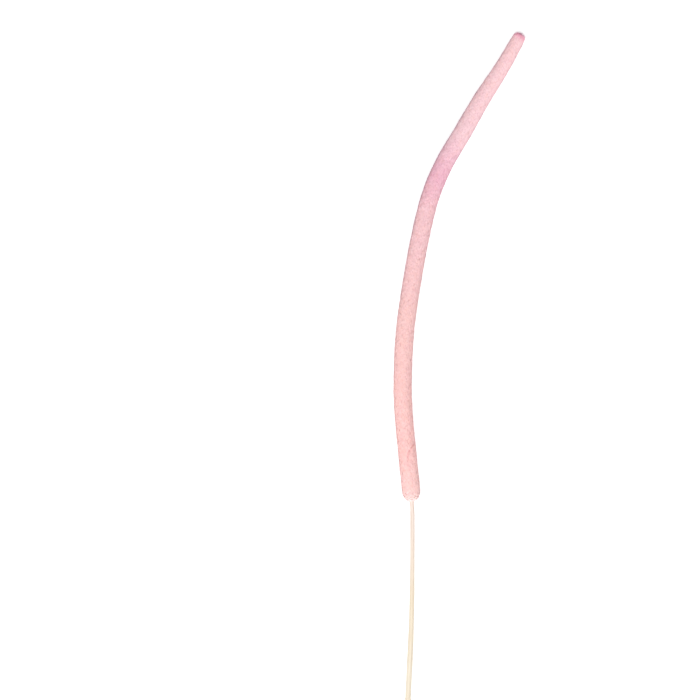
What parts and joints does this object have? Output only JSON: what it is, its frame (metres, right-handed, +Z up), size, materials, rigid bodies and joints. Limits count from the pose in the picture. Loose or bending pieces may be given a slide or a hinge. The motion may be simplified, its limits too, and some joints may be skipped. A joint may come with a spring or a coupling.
{
  "type": "dried timothy grass stem",
  "caption": "Dried grass stem lying flat: a long curved cylindrical flower head of packed spikelets, dyed pale pink, on a bare cut straw.",
  "frame": {"origin": "on the surface that the stem lies on, under the middle of its bounding box", "axes": "+Z up from the surface, +Y from the straw's cut end towards the flower head's tip, which leans to +X"},
  "size_m": [0.0532, 0.3002, 0.0075],
  "materials": {
    "dyed_glumes": "matte",
    "dried_straw": "satin"
  },
  "bodies": {
    "root": {"flower_head": "dyed_glumes", "straw": "dried_straw"}
  },
  "joints": []
}
